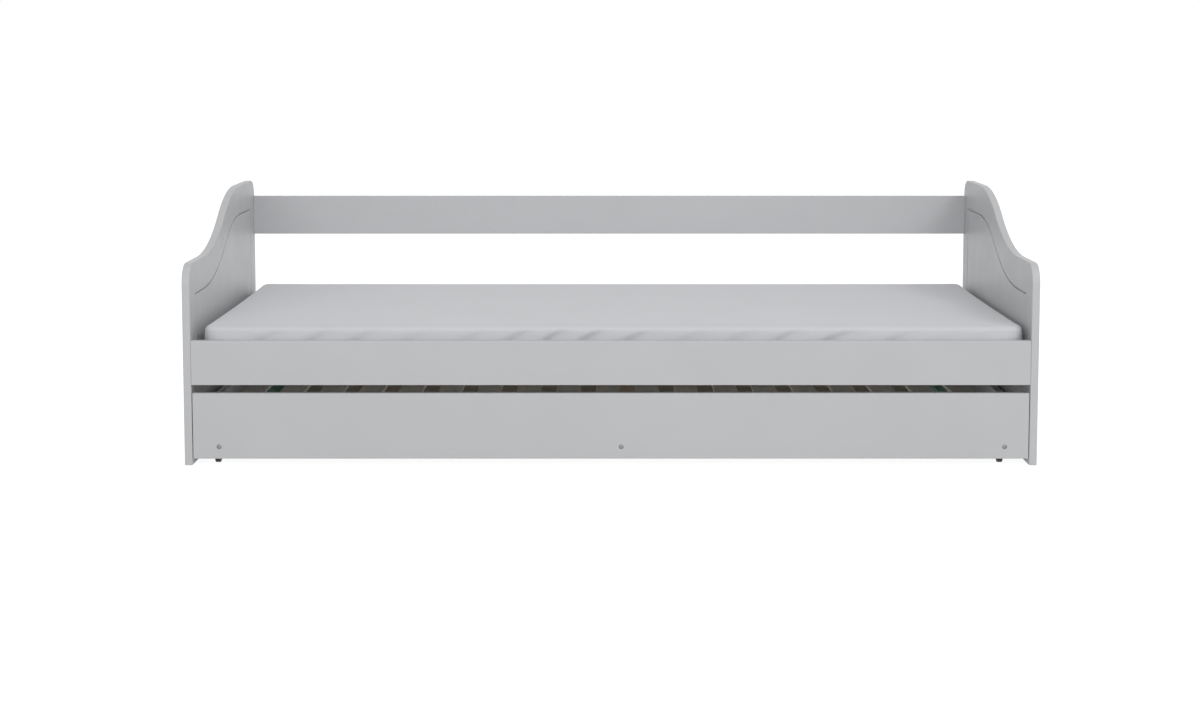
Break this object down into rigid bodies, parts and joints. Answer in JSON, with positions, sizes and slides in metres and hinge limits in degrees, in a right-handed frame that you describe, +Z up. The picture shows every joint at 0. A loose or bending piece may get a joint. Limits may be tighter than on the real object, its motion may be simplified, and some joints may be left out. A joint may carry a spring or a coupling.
{
  "type": "daybed with trundle bed",
  "caption": "Child's daybed with S-curved side panels, a back rail, a slatted base with a mattress, and a trundle bed on castors that rolls out below it.",
  "frame": {"origin": "middle of the footprint on the floor", "axes": "+X along the bed to the right of someone who looks at its open front, +Y from the open front to the back rail, +Z up"},
  "size_m": [2.05, 0.95, 0.6265],
  "materials": {
    "paint": "smooth satin light grey paint on board",
    "raw_board": "bare fibreboard, unpainted",
    "slat_wood": "bare pale planed wood",
    "green_wood": "dull green stain on planed wood",
    "brown_wood": "bare brown wood",
    "sheet": "plain woven cotton, light grey",
    "steel": "zinc-plated steel",
    "black_steel": "black painted sheet steel",
    "wheel_plastic": "matt black plastic"
  },
  "bodies": {
    "frame": {"left_front_stile": "paint", "left_back_stile": "paint", "left_top_rail": "paint", "left_base_rail": "paint", "left_panel": "paint", "right_front_stile": "paint", "right_back_stile": "paint", "right_top_rail": "paint", "right_base_rail": "paint", "right_panel": "paint", "front_rail": "paint", "back_upper_rail": "paint", "back_lower_rail": "paint", "front_slat_ledger": "slat_wood", "back_slat_ledger": "slat_wood", "bed_slats": "slat_wood", "mattress": "sheet", "rail_bolts": "steel", "barrel_nuts": "steel", "rail_dowels": "slat_wood", "bed_screws": "steel"},
    "trundle": {"trundle_front": "paint", "trundle_back": "raw_board", "trundle_left_end": "paint", "trundle_right_end": "paint", "trundle_left_beam": "green_wood", "trundle_middle_beam": "brown_wood", "trundle_right_beam": "green_wood", "trundle_front_ledger": "slat_wood", "trundle_back_ledger": "slat_wood", "trundle_slat_01": "slat_wood", "trundle_slat_02": "slat_wood", "trundle_slat_03": "slat_wood", "trundle_slat_04": "slat_wood", "trundle_slat_05": "slat_wood", "trundle_slat_06": "slat_wood", "trundle_slat_07": "slat_wood", "trundle_slat_08": "slat_wood", "trundle_slat_09": "slat_wood", "trundle_slat_10": "slat_wood", "trundle_slat_11": "slat_wood", "trundle_slat_12": "slat_wood", "trundle_slat_13": "slat_wood", "trundle_slat_14": "slat_wood", "trundle_slat_15": "slat_wood", "trundle_slat_16": "slat_wood", "trundle_slat_17": "slat_wood", "trundle_slat_18": "slat_wood", "trundle_slat_19": "slat_wood", "front_board_screws": "steel", "trundle_screws": "steel", "castor_housing_front_left": "black_steel", "castor_housing_front_right": "black_steel", "castor_housing_back_left": "black_steel", "castor_housing_back_right": "black_steel", "castor_axles": "steel"},
    "wheel_front_left": {"wheel_front_left": "wheel_plastic"},
    "wheel_front_right": {"wheel_front_right": "wheel_plastic"},
    "wheel_back_left": {"wheel_back_left": "wheel_plastic"},
    "wheel_back_right": {"wheel_back_right": "wheel_plastic"}
  },
  "joints": [
    {"name": "trundle_slide", "type": "slide", "parent": "frame", "child": "trundle", "axis": [0, -1, 0], "range_m": [0, 0.9]},
    {"name": "wheel_front_left_roll", "type": "hinge", "parent": "trundle", "child": "wheel_front_left", "pos_m": [-0.951, -0.433, 0.015], "axis": [1, 0, 0], "continuous": true},
    {"name": "wheel_front_right_roll", "type": "hinge", "parent": "trundle", "child": "wheel_front_right", "pos_m": [0.942, -0.433, 0.015], "axis": [1, 0, 0], "continuous": true},
    {"name": "wheel_back_left_roll", "type": "hinge", "parent": "trundle", "child": "wheel_back_left", "pos_m": [-0.951, 0.43, 0.015], "axis": [1, 0, 0], "continuous": true},
    {"name": "wheel_back_right_roll", "type": "hinge", "parent": "trundle", "child": "wheel_back_right", "pos_m": [0.942, 0.43, 0.015], "axis": [1, 0, 0], "continuous": true}
  ],
  "couplings": [
    {"joint": "wheel_front_left_roll", "follows": "trundle_slide", "rad_per_m": 66.667},
    {"joint": "wheel_front_right_roll", "follows": "trundle_slide", "rad_per_m": 66.667},
    {"joint": "wheel_back_left_roll", "follows": "trundle_slide", "rad_per_m": 66.667},
    {"joint": "wheel_back_right_roll", "follows": "trundle_slide", "rad_per_m": 66.667}
  ]
}
